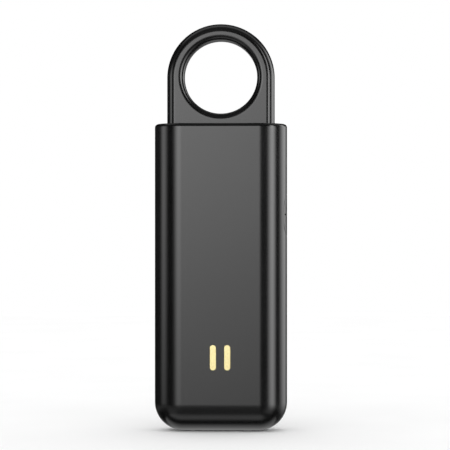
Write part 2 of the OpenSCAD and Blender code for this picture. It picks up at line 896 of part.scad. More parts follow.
back_shell();
front_shell();
pull_ring();
pull_pin();
pull_switch_socket();
switch_leaf_left();
switch_leaf_right();
light_button();
tact_switch();
tact_plunger();
light_lens();
light_led();
main_board();
board_screws();
controller_chip();
charger_chip();
driver_transistor();
boost_coil();
chip_capacitors();
chip_resistors();
charge_bar_left();
charge_bar_right();
bar_springs();
battery_cell();
battery_guard_board();
battery_lead_red();
battery_lead_black();
battery_tape();
battery_pad();
sounder_plate();
sounder_disc();
sounder_gasket();
sounder_lead_red();
sounder_lead_black();
sound_mesh();
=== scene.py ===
import math

import bmesh
import bpy
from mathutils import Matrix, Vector


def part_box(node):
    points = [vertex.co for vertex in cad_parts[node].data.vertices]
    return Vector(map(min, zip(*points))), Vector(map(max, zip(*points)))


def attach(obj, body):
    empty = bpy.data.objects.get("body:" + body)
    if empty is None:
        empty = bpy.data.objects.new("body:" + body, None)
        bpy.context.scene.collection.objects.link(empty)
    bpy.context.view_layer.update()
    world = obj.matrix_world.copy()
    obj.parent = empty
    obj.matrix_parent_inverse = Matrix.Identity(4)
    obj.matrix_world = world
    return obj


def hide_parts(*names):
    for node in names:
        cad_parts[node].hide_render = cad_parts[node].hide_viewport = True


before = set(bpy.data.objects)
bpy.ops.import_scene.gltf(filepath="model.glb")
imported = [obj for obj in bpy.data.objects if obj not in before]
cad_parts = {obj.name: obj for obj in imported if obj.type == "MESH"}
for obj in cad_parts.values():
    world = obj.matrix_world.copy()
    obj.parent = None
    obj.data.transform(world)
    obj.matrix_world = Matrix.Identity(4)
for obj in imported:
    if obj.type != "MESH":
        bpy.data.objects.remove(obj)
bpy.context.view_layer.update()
mm = 0.001
near = 0.00001  # how close counts as the same place, a hundredth of a millimetre
hair = near / 100  # how close a cutting plane may pass a point without touching it
facing = 0.9  # how much of a direction has to lie along an axis to count as pointing that way
noiseLow, noiseHigh = 0.3, 0.7  # most of a noise's values lie between these


# small helpers for picking and shaping

def dropPicks():
    if bpy.context.mode != "OBJECT":
        bpy.ops.object.mode_set(mode="OBJECT")
    bpy.ops.object.select_all(action="DESELECT")


def takeUp(obj):
    dropPicks()
    obj.select_set(True)
    bpy.context.view_layer.objects.active = obj


def settle(name):
    obj = bpy.context.object
    obj.name = name
    obj.data.name = name
    bpy.ops.object.transform_apply(location=True, rotation=True, scale=True)
    return obj


def addBlock(name, low, high):
    dropPicks()
    bpy.ops.mesh.primitive_cube_add(size=1, location=(Vector(low) + Vector(high)) / 2)
    bpy.context.object.scale = Vector(high) - Vector(low)
    return settle(name)


# a rod from one point to another along an axis, 0 for x, 1 for y, 2 for z
def addRod(name, middle, radius, start, end, axis, sides=64, ends="NGON"):
    place = Vector(middle)
    place[axis] = (start + end) / 2
    turn = [(0, math.pi / 2, 0), (-math.pi / 2, 0, 0), (0, 0, 0)][axis]
    dropPicks()
    bpy.ops.mesh.primitive_cylinder_add(
        vertices=sides, radius=radius, depth=end - start, end_fill_type=ends, location=place, rotation=turn)
    return settle(name)


def openUp(obj, kind):
    takeUp(obj)
    bpy.ops.object.mode_set(mode="EDIT")
    bpy.ops.mesh.select_mode(type=kind)


# picks verts, edges or faces of the open mesh by a test on each
def pick(obj, parts, test):
    bpy.ops.mesh.select_all(action="DESELECT")
    mesh = bmesh.from_edit_mesh(obj.data)
    for part in getattr(mesh, parts):
        if test(part):
            part.select_set(True)
    mesh.select_flush_mode()
    bmesh.update_edit_mesh(obj.data)


def closeUp():
    bpy.ops.object.mode_set(mode="OBJECT")


# True where both ends of an edge, or all corners of a face, pass the test
def allAt(part, test):
    return all(test(v.co) for v in part.verts)


def same(a, b):
    return abs(a - b) < near


def bevelEdges(obj, test, offset, steps, clamp=False):
    openUp(obj, "EDGE")
    pick(obj, "edges", test)
    bpy.ops.mesh.bevel(offset=offset, segments=steps, profile=0.5, affect="EDGES", clamp_overlap=clamp)
    closeUp()


def mergeDoubles(obj, reach):
    openUp(obj, "VERT")
    bpy.ops.mesh.select_all(action="SELECT")
    bpy.ops.mesh.remove_doubles(threshold=reach)
    closeUp()


def extrudeBy(x, y, z):
    bpy.ops.mesh.extrude_region_move(TRANSFORM_OT_translate={"value": (x, y, z)})


def applyModifier(obj, kind, **settings):
    takeUp(obj)
    modifier = obj.modifiers.new(kind.title(), kind)
    for key, value in settings.items():
        setattr(modifier, key, value)
    bpy.ops.object.modifier_apply(modifier=modifier.name)


def cutWith(obj, cutter, operation="DIFFERENCE"):
    applyModifier(obj, "BOOLEAN", operation=operation, solver="EXACT", object=cutter)
    bpy.data.objects.remove(cutter)


def copyTo(obj, name, shift, turn=(0, 0, 0)):
    takeUp(obj)
    bpy.ops.object.duplicate()
    bpy.context.object.location = shift
    bpy.context.object.rotation_euler = turn
    return settle(name)


def joinInto(obj, others):
    takeUp(obj)
    for other in others:
        other.select_set(True)
    bpy.ops.object.join()


# rounds all four corners of a block that run along one axis
def roundCorners(obj, axis, radius, steps):
    bevelEdges(obj, lambda e: abs((e.verts[0].co - e.verts[1].co).normalized()[axis]) > facing, radius, steps)
    mergeDoubles(obj, near)


shading = dict(angle=32, weight=60, merge=near / 20)


def finishPiece(obj, material, body, nodes=()):
    mergeDoubles(obj, shading["merge"])
    takeUp(obj)
    bpy.ops.object.shade_smooth_by_angle(angle=math.radians(shading["angle"]))
    applyModifier(obj, "WEIGHTED_NORMAL", mode="FACE_AREA", weight=shading["weight"], keep_sharp=True)
    obj.data.materials.clear()
    obj.data.materials.append(material)
    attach(obj, body)
    if nodes:
        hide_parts(*nodes)
    print("piece", obj.name, len(obj.data.polygons), "faces")
    return obj


# material helpers

class Finish:
    def __init__(self, name):
        self.material = bpy.data.materials.new(name)
        self.material.use_nodes = True
        self.nodes = self.material.node_tree.nodes
        self.links = self.material.node_tree.links
        self.shader = self.nodes["Principled BSDF"]
        self.place = self.nodes.new("ShaderNodeTexCoord").outputs["Object"]

    def add(self, kind, **settings):
        node = self.nodes.new(kind)
        for key, value in settings.items():
            setattr(node, key, value)
        return node

    def stretch(self, scale):
        mapping = self.add("ShaderNodeMapping")
        mapping.inputs["Scale"].default_value = scale
        self.links.new(self.place, mapping.inputs["Vector"])
        return mapping.outputs["Vector"]

    def noise(self, scale, detail=3, vector=None):
        node = self.add("ShaderNodeTexNoise")
        node.inputs["Scale"].default_value = scale
        node.inputs["Detail"].default_value = detail
        self.links.new(vector or self.place, node.inputs["Vector"])
        return node.outputs["Fac"]

    def cells(self, scale):
        node = self.add("ShaderNodeTexVoronoi")
        node.inputs["Scale"].default_value = scale
        self.links.new(self.place, node.inputs["Vector"])
        return node.outputs["Distance"]

    def waves(self, direction, spacing):
        node = self.add("ShaderNodeTexWave", bands_direction=direction)
        node.inputs["Scale"].default_value = math.pi / 10 / spacing
        self.links.new(self.place, node.inputs["Vector"])
        return node.outputs["Fac"]

    def axes(self):
        node = self.add("ShaderNodeSeparateXYZ")
        self.links.new(self.place, node.inputs["Vector"])
        return node.outputs

    # distance from a line through a point, along the y axis
    def fromAxis(self, x, z):
        axes = self.axes()
        across = self.math("SUBTRACT", axes["X"], x)
        up = self.math("SUBTRACT", axes["Z"], z)
        square = self.math("ADD", self.math("MULTIPLY", across, across), self.math("MULTIPLY", up, up))
        return self.math("SQRT", square, 0)

    def ramp(self, factor, stops):
        node = self.add("ShaderNodeValToRGB")
        elements = node.color_ramp.elements
        while len(elements) < len(stops):
            elements.new(1)
        for element, (where, colour) in zip(elements, stops):
            element.position = where
            element.color = (*colour, 1)
        self.links.new(factor, node.inputs["Fac"])
        return node.outputs["Color"]

    # from the first colour to the second over the usual run of a noise
    def between(self, factor, first, second):
        return self.ramp(factor, [(noiseLow, first), (noiseHigh, second)])

    def span(self, factor, low, high, start=noiseLow, end=noiseHigh):
        node = self.add("ShaderNodeMapRange")
        node.inputs["From Min"].default_value = start
        node.inputs["From Max"].default_value = end
        node.inputs["To Min"].default_value = low
        node.inputs["To Max"].default_value = high
        self.links.new(factor, node.inputs["Value"])
        return node.outputs["Result"]

    def math(self, operation, first, second):
        node = self.add("ShaderNodeMath", operation=operation)
        for socket, value in zip(node.inputs, (first, second)):
            if isinstance(value, (int, float)):
                socket.default_value = value
            else:
                self.links.new(value, socket)
        return node.outputs["Value"]

    # second colour where the mask is 1
    def mix(self, mask, first, second):
        node = self.add("ShaderNodeMix", data_type="RGBA")
        for socket, value in ((node.inputs[0], mask), (node.inputs[6], first), (node.inputs[7], second)):
            if isinstance(value, tuple):
                socket.default_value = (*value, 1)
            else:
                self.links.new(value, socket)
        return node.outputs[2]

    def metal(self, mask):
        self.links.new(mask, self.shader.inputs["Metallic"])

    def colour(self, source):
        self.links.new(source, self.shader.inputs["Base Color"])

    def rough(self, source):
        self.links.new(source, self.shader.inputs["Roughness"])

    def bump(self, height, distance, strength=1):
        node = self.add("ShaderNodeBump")
        node.inputs["Distance"].default_value = distance
        node.inputs["Strength"].default_value = strength
        self.links.new(height, node.inputs["Height"])
        self.links.new(node.outputs["Normal"], self.shader.inputs["Normal"])

    def set(self, **sockets):
        for name, value in sockets.items():
            self.shader.inputs[name.replace("_", " ")].default_value = value


# finishes

satinBlack = dict(
    dark=(0.0032, 0.0032, 0.0032), light=(0.0046, 0.0046, 0.004784), roughLow=0.185, roughHigh=0.215,
    patch=90, grain=9000, grainDepth=0.0000006, grainShare=0.4, rub=400, polish=0.05, gloss=0.8)


# rubbed is a mask of where hands and pockets have polished the surface
def mouldedPlastic(
        f, rubbed, dark, light, roughLow, roughHigh, patch, grain, grainDepth, grainShare, rub, polish, gloss):
    cloud = f.noise(patch, 5)
    fine = f.noise(grain, 2)
    f.colour(f.between(cloud, dark, light))
    mottle = f.math("ADD", f.math("MULTIPLY", cloud, 1 - grainShare), f.math("MULTIPLY", fine, grainShare))
    smoother = f.math("MULTIPLY", f.math("MULTIPLY", rubbed, f.noise(rub, 4)), polish)
    f.rough(f.math("SUBTRACT", f.span(mottle, roughLow, roughHigh), smoother))
    f.bump(fine, grainDepth)
    f.set(Specular_IOR_Level=gloss)
    return f.material


def goldPlate():
    f = Finish("gold plate")
    brushed = f.noise(1, 3, f.stretch((9000, 9000, 900)))
    tint = f.noise(700, 4)
    f.colour(f.between(tint, (0.95, 0.81, 0.41), (0.98, 0.86, 0.45)))
    f.rough(f.span(brushed, 0.2, 0.29))
    f.bump(brushed, 0.000001)
    f.set(Metallic=1)
    return f.material


def plainFinish(name, dark, light, roughLow, roughHigh, scale, metal=0, depth=0.000004):
    f = Finish(name)
    patch = f.noise(scale, 4)
    f.colour(f.between(patch, dark, light))
    f.rough(f.span(patch, roughLow, roughHigh))
    f.bump(f.noise(scale * 6, 2), depth)
    f.set(Metallic=metal)
    return f.material


# lines drawn one way, as on rolled or turned metal
def lineMetal(name, dark, light, roughLow, roughHigh, stretch):
    f = Finish(name)
    lines = f.noise(1, 4, f.stretch(stretch))
    patch = f.noise(600, 4)
    f.colour(f.between(patch, dark, light))
    f.rough(f.span(lines, roughLow, roughHigh))
    f.bump(lines, 0.000002)
    f.set(Metallic=1)
    return f.material


caseLow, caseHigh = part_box("back_shell")
ringLow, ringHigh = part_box("pull_ring")
buttonLow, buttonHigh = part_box("light_button")
rubbedShape = dict(caseTop=1.5 * mm, holeFrom=8.2 * mm, holeTo=10 * mm, buttonCrown=0.5 * mm)


def shellFinish():
    f = Finish("shell plastic")
    topEdge = f.span(f.axes()["Z"], 0, 1, caseHigh.z - rubbedShape["caseTop"], caseHigh.z)
    return mouldedPlastic(f, topEdge, **satinBlack)


def ringFinish():
    f = Finish("ring plastic")
    fromHole = f.fromAxis(0, ringHigh.z - ringHigh.x)
    holeRim = f.span(fromHole, 1, 0, rubbedShape["holeFrom"], rubbedShape["holeTo"])
    return mouldedPlastic(f, holeRim, **satinBlack)


def buttonFinish():
    f = Finish("button plastic")
    crown = f.span(f.axes()["X"], 0, 1, buttonHigh.x - rubbedShape["buttonCrown"], buttonHigh.x)
    return mouldedPlastic(f, crown, **satinBlack)


shellPlastic = shellFinish()
ringPlastic = ringFinish()
buttonPlastic = buttonFinish()
goldFinish = goldPlate()
print("finishes made")


# case: two shells that meet along a parting line down the middle of the sides

caseShape = dict(
    roundSteps=24, wall=1.6 * mm, topRound=0.8 * mm, topSteps=6, seam=0.12 * mm, spare=3 * mm,
    lapInset=0.8 * mm, lapRoom=0.08 * mm, lapRise=0.9 * mm, lapRoot=1.5 * mm, lapStep=0.02 * mm, lapEnd=0.1 * mm,
    openingEdge=0.12 * mm, openingSteps=2)
halfWidth = caseHigh.x
halfDepth = -caseLow.y
caseTop = caseHigh.z


# side -1 is the back, +1 the front; the block runs past the parting line
def roundedBlock(name, side, inset):
    face = side * (halfDepth - inset)
    past = -side * caseShape["spare"]
    wide = halfWidth - inset
    obj = addBlock(name, (-wide, min(face, past), inset), (wide, max(face, past), caseTop - inset))

    def outerCorner(e):
        atFace = allAt(e, lambda c: same(c.y, face))
        atSide = allAt(e, lambda c: same(abs(c.x), wide)) and same(e.verts[0].co.x, e.verts[1].co.x)
        atBase = allAt(e, lambda c: same(c.z, inset))
        return atFace + atSide + atBase == 2

    bevelEdges(obj, outerCorner, halfDepth - inset, caseShape["roundSteps"])
    return obj


# opens the block at the parting line and gives its wall a thickness
def hollowOut(obj, side, wall):
    past = -side * caseShape["spare"]
    openUp(obj, "FACE")
    pick(obj, "faces", lambda f: allAt(f, lambda c: same(c.y, past)))
    bpy.ops.mesh.delete(type="FACE")
    closeUp()
    applyModifier(obj, "SOLIDIFY", thickness=wall, offset=-1, use_even_offset=True)


# cuts away what lies past a plane across y, on the side that way points to
def trimAt(obj, y, way):
    openUp(obj, "EDGE")
    bpy.ops.mesh.select_all(action="SELECT")
    bpy.ops.mesh.bisect(plane_co=(0, y, 0), plane_no=(0, way, 0), clear_outer=True, threshold=hair)
    bpy.ops.mesh.fill(use_beauty=True)
    bpy.ops.mesh.select_all(action="SELECT")
    bpy.ops.mesh.normals_make_consistent(inside=False)
    closeUp()


def shellBlank(name, side):
    obj = roundedBlock(name, side, 0)
    hollowOut(obj, side, caseShape["wall"])
    past = -side * caseShape["spare"]

    def topEdge(e):
        return allAt(e, lambda c: same(c.z, caseTop)) and not allAt(e, lambda c: same(c.y, past))

    bevelEdges(obj, topEdge, caseShape["topRound"], caseShape["topSteps"])
    trimAt(obj, side * caseShape["seam"] / 2, -side)
    return obj


# the back's tongue, which laps the parting line from inside
def lapTongue():
    inset = caseShape["lapInset"] + caseShape["lapRoom"]
    obj = roundedBlock("lapTongue", -1, inset)
    hollowOut(obj, -1, caseShape["wall"] - inset - caseShape["lapStep"])
    trimAt(obj, caseShape["lapRise"], 1)
    trimAt(obj, -caseShape["lapRoot"], -1)
    return obj


# the room that the front leaves for it
def lapCutter():
    obj = roundedBlock("lapCutter", 1, caseShape["lapInset"])
    trimAt(obj, caseShape["lapRise"] + caseShape["lapEnd"], 1)
    return obj


# takes the sharp edge off openings and ribs
def easeEdges(obj, test):
    bevelEdges(obj, test, caseShape["openingEdge"], caseShape["openingSteps"], True)


def easeSlot(obj):
    wide = ringHigh.x + tabShape["edgeReach"]
    deep = ringHigh.y + tabShape["edgeDepth"]

    def slotEdge(e):
        onTop = allAt(e, lambda c: same(c.z, caseTop) and abs(c.y) < deep and abs(c.x) < wide)
        return onTop and not allAt(e, lambda c: abs(c.y) < caseShape["seam"])

    easeEdges(obj, slotEdge)


# openings that both shells share

tabShape = dict(bulge=1.8 * mm, room=0.15 * mm, steps=16, past=5 * mm, edgeReach=mm, edgeDepth=0.4 * mm)
ringStretch = ringHigh.y / tabShape["bulge"]


def slotCutter():
    room = tabShape["room"]
    bulge = tabShape["bulge"] + room / ringStretch
    reach = ringHigh.x + room
    obj = addBlock("slotCutter", (-reach, -bulge, ringLow.z), (reach, bulge, caseTop + tabShape["past"]))
    roundCorners(obj, 2, bulge, tabShape["steps"])
    openUp(obj, "VERT")
    bpy.ops.mesh.select_all(action="SELECT")
    bpy.ops.transform.resize(value=(1, ringStretch, 1), center_override=(0, 0, 0))
    closeUp()
    return obj


buttonShape = dict(
    rim=0.7 * mm, gap=0.12 * mm, steps=20, depth=2.4 * mm, edge=0.14 * mm, skin=1.7 * mm, post=1.3 * mm,
    postLength=0.45 * mm, postRoot=0.3 * mm, postSides=32, insets=6, inset=0.42 * mm, rimInset=0.5 * mm,
    rimStep=0.05 * mm, edgeSteps=3, past=5 * mm)
buttonMid = (buttonLow + buttonHigh) / 2
buttonHalfWidth = buttonHigh.y - buttonShape["rim"]
buttonHalfLength = (buttonHigh.z - buttonLow.z) / 2 - buttonShape["rim"]


# a pill-shaped block lying along the x axis, on the side button's middle
def buttonPill(name, grow, start, end):
    wide = buttonHalfWidth + grow
    tall = buttonHalfLength + grow
    obj = addBlock(name, (start, -wide, buttonMid.z - tall), (end, wide, buttonMid.z + tall))
    roundCorners(obj, 0, wide, buttonShape["steps"])
    return obj


def windowCutter():
    past = buttonShape["past"]
    return buttonPill("windowCutter", buttonShape["gap"], halfWidth - past, halfWidth + past)


# charging bars, and the slots they sit in

barShape = dict(
    rim=0.5 * mm, flange=0.5 * mm, gap=0.05 * mm, steps=16, edge=0.06 * mm, edgeSteps=2, past=mm, slotDepth=3 * mm)


def barPill(name, node, grow, front, back):
    low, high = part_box(node)
    middle = (low + high) / 2
    wide = (high.x - low.x) / 2 - barShape["rim"] + grow
    tall = (high.z - low.z) / 2 - barShape["rim"] + grow
    obj = addBlock(name, (middle.x - wide, front, middle.z - tall), (middle.x + wide, back, middle.z + tall))
    roundCorners(obj, 1, wide, barShape["steps"])
    return obj


# screw bosses, each with its pilot hole, and two plain posts for the board
bossShape = dict(
    radius=1.9 * mm, hole=0.75 * mm, depth=2.2 * mm, root=-5.6 * mm, sides=40,
    spots=[(x * mm, z * mm) for x in (-9.3, 9.3) for z in (33.6, 57.8)])
postShape = dict(radius=1.5 * mm, spots=[(-7 * mm, 11 * mm), (7 * mm, 11 * mm)], edge=0.2 * mm, edgeSteps=2)
boardLow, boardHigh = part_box("main_board")


def makeBoss():
    obj = addRod("boss", (0, 0, 0), bossShape["radius"], bossShape["root"], boardLow.y, 1, bossShape["sides"])
    openUp(obj, "FACE")
    pick(obj, "faces", lambda f: f.normal.y > facing)
    bpy.ops.mesh.inset(thickness=bossShape["radius"] - bossShape["hole"])
    extrudeBy(0, -bossShape["depth"], 0)
    closeUp()
    return obj


def makePost():
    obj = addRod("post", (0, 0, 0), postShape["radius"], bossShape["root"], boardLow.y, 1, bossShape["sides"])
    bevelEdges(obj, lambda e: allAt(e, lambda c: same(c.y, boardLow.y)), postShape["edge"], postShape["edgeSteps"])
    return obj


# copies a piece to each spot, and with a half turn about y to the other side too where turns say so
def standAt(obj, name, spots, turns=(0,)):
    copies = [copyTo(obj, name, (x, 0, z), (0, turn, 0)) for x, z in spots for turn in turns]
    bpy.data.objects.remove(obj)
    joinInto(copies[0], copies[1:])
    return copies[0]


# ribs in both shells: stops under the ring's foot, and guides that lengthen the slot's walls
ribShape = dict(
    stop=dict(x=8.6 * mm, width=2.4 * mm, inner=0.35 * mm, low=64.6 * mm, high=65.98 * mm),
    guide=dict(x=6 * mm, width=1.2 * mm, inner=3.17 * mm, low=64.65 * mm, high=68.2 * mm),
    root=5.6 * mm)


def makeRibs(name, side):
    rib = ribShape[name]
    half = rib["width"] / 2
    inner = side * rib["inner"]
    root = side * ribShape["root"]
    obj = addBlock(name, (-half, min(inner, root), rib["low"]), (half, max(inner, root), rib["high"]))
    easeEdges(obj, lambda e: allAt(e, lambda c: same(c.y, inner)))
    return standAt(obj, name, [(-rib["x"], 0), (rib["x"], 0)])


# hooks on the front shell that click behind catches on the back one
hookShape = dict(
    inner=11.35 * mm, outer=12.25 * mm, width=4 * mm, tip=-2.7 * mm, root=4.4 * mm, barb=0.6 * mm,
    barbTop=-1.7 * mm, heights=(14 * mm, 28 * mm))
catchShape = dict(inner=12.4 * mm, outer=14.05 * mm, low=-1.6 * mm, high=-0.7 * mm)


def onBothSides(obj, name):
    return standAt(obj, name, [(0, height) for height in hookShape["heights"]], (0, math.pi))


def makeHooks():
    half = hookShape["width"] / 2
    outer = hookShape["outer"]
    barbTop = hookShape["barbTop"]
    obj = addBlock("hook", (hookShape["inner"], hookShape["tip"], -half), (outer, hookShape["root"], half))
    openUp(obj, "FACE")
    bpy.ops.mesh.select_all(action="SELECT")
    bpy.ops.mesh.bisect(plane_co=(0, barbTop, 0), plane_no=(0, 1, 0), threshold=hair)
    pick(obj, "faces", lambda f: f.normal.x > facing and allAt(f, lambda c: c.y < barbTop + near))
    extrudeBy(hookShape["barb"], 0, 0)
    bpy.ops.mesh.select_mode(type="VERT")
    pick(obj, "verts", lambda v: v.co.x > outer + near and same(v.co.y, hookShape["tip"]))
    bpy.ops.transform.translate(value=(-hookShape["barb"], 0, 0))  # slopes the barb's lead-in
    closeUp()
    mergeDoubles(obj, near)
    return onBothSides(obj, "hooks")


def makeCatches():
    inner = catchShape["inner"]
    half = hookShape["width"] / 2
    obj = addBlock("catch", (inner, catchShape["low"], -half), (catchShape["outer"], catchShape["high"], half))
    easeEdges(obj, lambda e: allAt(e, lambda c: same(c.x, inner)))
    return onBothSides(obj, "catches")


backShell = shellBlank("backShell", -1)
cutWith(backShell, lapTongue(), "UNION")
cutWith(backShell, standAt(makeBoss(), "bosses", bossShape["spots"]), "UNION")
cutWith(backShell, standAt(makePost(), "posts", postShape["spots"]), "UNION")
cutWith(backShell, slotCutter())
cutWith(backShell, windowCutter())
for barNode in ("charge_bar_left", "charge_bar_right"):
    slotEnds = (-halfDepth - barShape["past"], -halfDepth + barShape["slotDepth"])
    cutWith(backShell, barPill("barSlot", barNode, barShape["gap"], *slotEnds))
for ribName in ("stop", "guide"):
    cutWith(backShell, makeRibs(ribName, -1), "UNION")
cutWith(backShell, makeCatches(), "UNION")
easeSlot(backShell)
finishPiece(backShell, shellPlastic, "housing", ["back_shell"])

# front: a lens window and a round field of sound holes, with the sounder's chamber behind them
frontShape = dict(
    lensRoom=0.06 * mm, lensRim=0.8 * mm, lensSides=96, holeRadius=0.6 * mm, holePitch=2.4 * mm, holeRings=2,
    holeSides=32, cutFrom=3.6 * mm, past=mm, soundReach=5.76 * mm, lensReach=0.2 * mm)
chamberShape = dict(
    outer=8.95 * mm, bore=7.95 * mm, seat=7.15 * mm, back=2.2 * mm, ledge=3.4 * mm, floor=4.75 * mm, root=0.2 * mm,
    sides=128)
lensLow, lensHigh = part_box("light_lens")
lensMid = (lensLow + lensHigh) / 2
lensRadius = lensHigh.x - frontShape["lensRim"]
meshLow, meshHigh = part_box("sound_mesh")
soundMid = (meshLow + meshHigh) / 2


def makeChamber():
    c = chamberShape
    obj = addRod("chamber", soundMid, c["outer"], c["back"], c["floor"] + c["root"], 1, c["sides"])
    openUp(obj, "FACE")
    pick(obj, "faces", lambda f: f.normal.y < -facing)
    bpy.ops.mesh.inset(thickness=c["outer"] - c["bore"])
    extrudeBy(0, c["ledge"] - c["back"], 0)
    bpy.ops.mesh.inset(thickness=c["bore"] - c["seat"])
    extrudeBy(0, c["floor"] - c["ledge"], 0)
    closeUp()
    return obj


def soundSpots():
    spots = [(0, 0)]
    for ring in range(1, frontShape["holeRings"] + 1):
        for side in range(6):
            a = math.radians(60 * side)
            b = math.radians(60 * side + 120)
            for step in range(ring):
                spots.append((ring * math.cos(a) + step * math.cos(b), ring * math.sin(a) + step * math.sin(b)))
    return [(soundMid.x + x * frontShape["holePitch"], soundMid.z + z * frontShape["holePitch"]) for x, z in spots]


# a rod through the front wall
def frontRod(name, z, radius, sides):
    return addRod(name, (0, 0, z), radius, frontShape["cutFrom"], halfDepth + frontShape["past"], 1, sides)


def soundCutter():
    rod = frontRod("soundRod", 0, frontShape["holeRadius"], frontShape["holeSides"])
    return standAt(rod, "soundCutter", soundSpots())


def frontOpening(e):
    if not allAt(e, lambda c: same(c.y, halfDepth)):
        return False
    lensReach = lensRadius + frontShape["lensReach"]
    nearSound = allAt(e, lambda c: math.hypot(c.x - soundMid.x, c.z - soundMid.z) < frontShape["soundReach"])
    return nearSound or allAt(e, lambda c: math.hypot(c.x, c.z - lensMid.z) < lensReach)


frontShell = shellBlank("frontShell", 1)
cutWith(frontShell, lapCutter())
cutWith(frontShell, makeChamber(), "UNION")
cutWith(frontShell, slotCutter())
cutWith(frontShell, windowCutter())
cutWith(frontShell, soundCutter())
lensBore = lensRadius + frontShape["lensRoom"]
cutWith(frontShell, frontRod("lensCutter", lensMid.z, lensBore, frontShape["lensSides"]))
for ribName in ("stop", "guide"):
    cutWith(frontShell, makeRibs(ribName, 1), "UNION")
cutWith(frontShell, makeHooks(), "UNION")
easeSlot(frontShell)
easeEdges(frontShell, frontOpening)
finishPiece(frontShell, shellPlastic, "housing", ["front_shell"])
print("case done")


# pull ring: an arched slab with rolled edges, a finger hole and a foot that plugs into the case

ringShape = dict(
    roll=1.95 * mm, rollShare=0.998, sides=192, edgeSteps=16, holeRadius=8.25 * mm, holeLift=0.1 * mm,
    holeRound=1.4 * mm, holeSteps=10, footChamfer=0.4 * mm, flatAngle=0.1, holePast=6 * mm, borePast=mm)
pinShape = dict(sides=48, tip=0.6 * mm, steps=3)
pinLow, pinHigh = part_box("pull_pin")


def makeRing():
    bulge = ringShape["roll"]
    radius = ringHigh.x
    middle = ringHigh.z - radius
    foot = ringLow.z
    obj = addRod("pullRing", (0, 0, middle), radius, -bulge, bulge, 1, ringShape["sides"])
    openUp(obj, "FACE")
    bpy.ops.mesh.select_all(action="SELECT")
    bpy.ops.mesh.bisect(
        plane_co=(0, 0, middle), plane_no=(0, 0, 1), clear_inner=True, use_fill=True, threshold=hair)
    pick(obj, "faces", lambda f: f.normal.z < -facing)
    extrudeBy(0, 0, foot - middle)
    bpy.ops.mesh.select_all(action="SELECT")
    bpy.ops.mesh.dissolve_limited(angle_limit=math.radians(ringShape["flatAngle"]))
    closeUp()

    def outerEdge(e):
        return same(e.verts[0].co.y, e.verts[1].co.y) and not allAt(e, lambda c: same(c.z, foot))

    bevelEdges(obj, outerEdge, bulge * ringShape["rollShare"], ringShape["edgeSteps"])
    openUp(obj, "EDGE")
    bpy.ops.mesh.select_all(action="SELECT")
    bpy.ops.transform.resize(value=(1, ringHigh.y / bulge, 1), center_override=(0, 0, 0))
    for side in (-1, 1):  # chamfers along the foot
        bpy.ops.mesh.select_all(action="SELECT")
        bpy.ops.mesh.bisect(
            plane_co=(0, side * (ringHigh.y - ringShape["footChamfer"]), foot), plane_no=(0, side, -1),
            clear_outer=True, use_fill=True, threshold=hair)
    closeUp()
    hole = ringShape["holeRadius"]
    holeMid = middle + ringShape["holeLift"]
    reach = ringHigh.y + ringShape["holePast"]
    cutter = addRod("holeCutter", (0, 0, holeMid), hole, -reach, reach, 1, ringShape["sides"])
    boreStart = foot - ringShape["borePast"]
    joinInto(cutter, [addRod("boreCutter", (0, 0, 0), pinHigh.x, boreStart, pinHigh.z, 2, pinShape["sides"])])
    cutWith(obj, cutter)

    def holeRim(e):
        onFace = allAt(e, lambda c: same(abs(c.y), ringHigh.y)) and same(e.verts[0].co.y, e.verts[1].co.y)
        return onFace and allAt(e, lambda c: abs(math.hypot(c.x, c.z - holeMid) - hole) < 3 * near)

    bevelEdges(obj, holeRim, ringShape["holeRound"], ringShape["holeSteps"])
    return obj


finishPiece(makeRing(), ringPlastic, "ring", ["pull_ring"])


# steel pin under the ring, with a lead-in at its tip

def makePin():
    obj = addRod("pullPin", (0, 0, 0), pinHigh.x, pinLow.z, pinHigh.z, 2, pinShape["sides"])
    bevelEdges(obj, lambda e: allAt(e, lambda c: same(c.z, pinLow.z)), pinShape["tip"] / 2, pinShape["steps"])
    return obj


steelFinish = lineMetal("pin steel", (0.2, 0.2, 0.21), (0.27, 0.27, 0.28), 0.36, 0.46, (6000, 6000, 600))
finishPiece(makePin(), steelFinish, "ring", ["pull_pin"])
print("ring and pin done")


# side button: a pill that follows the round of the case, with a cut symbol of a ring and rays

# depth is the cut's depth; the four keys after past shape the near-black fill that darkens the cut
symbolShape = dict(
    depth=0.15 * mm, past=mm, darkFill=0.13 * mm, darkFillEdge=0.02 * mm, darkFillSteps=2, darkFillCorner=1, ring=0.75 * mm,
    ringSides=48, line=0.34 * mm, rays=8, rayStart=1.4 * mm, rayLength=0.9 * mm, lift=0.2 * mm, shift=-0.2 * mm)


def symbolBlock(name, outer):
    inner = halfWidth - symbolShape["depth"]
    line = symbolShape["line"]
    start = symbolShape["rayStart"]
    middle = (0, symbolShape["shift"], buttonMid.z + symbolShape["lift"])
    ring = addRod(name, middle, symbolShape["ring"], inner, outer, 0, symbolShape["ringSides"], "NOTHING")
    applyModifier(ring, "SOLIDIFY", thickness=line, offset=-1)
    ray = addBlock("ray", (inner, -line / 2, start), (outer, line / 2, start + symbolShape["rayLength"]))
    rays = []
    for step in range(symbolShape["rays"]):
        turn = 2 * math.pi * step / symbolShape["rays"]
        rays.append(copyTo(ray, "ray", middle, (turn, 0, 0)))
    bpy.data.objects.remove(ray)
    joinInto(ring, rays)
    return ring


# bends a flat piece to the round of the case: its distance past the side's centre line is its radius
def wrapToSide(obj):
    centre = halfWidth - halfDepth
    openUp(obj, "VERT")
    mesh = bmesh.from_edit_mesh(obj.data)
    for v in mesh.verts:
        v.co.x = centre + math.sqrt((v.co.x - centre) ** 2 - v.co.y ** 2)
    bmesh.update_edit_mesh(obj.data)
    closeUp()


# insets give the flat face rings of points to bend with
def ringInsets(obj, x, step, count):
    openUp(obj, "FACE")
    pick(obj, "faces", lambda f: allAt(f, lambda c: same(c.x, x)))
    for ring in range(count):
        bpy.ops.mesh.inset(thickness=step)
    closeUp()


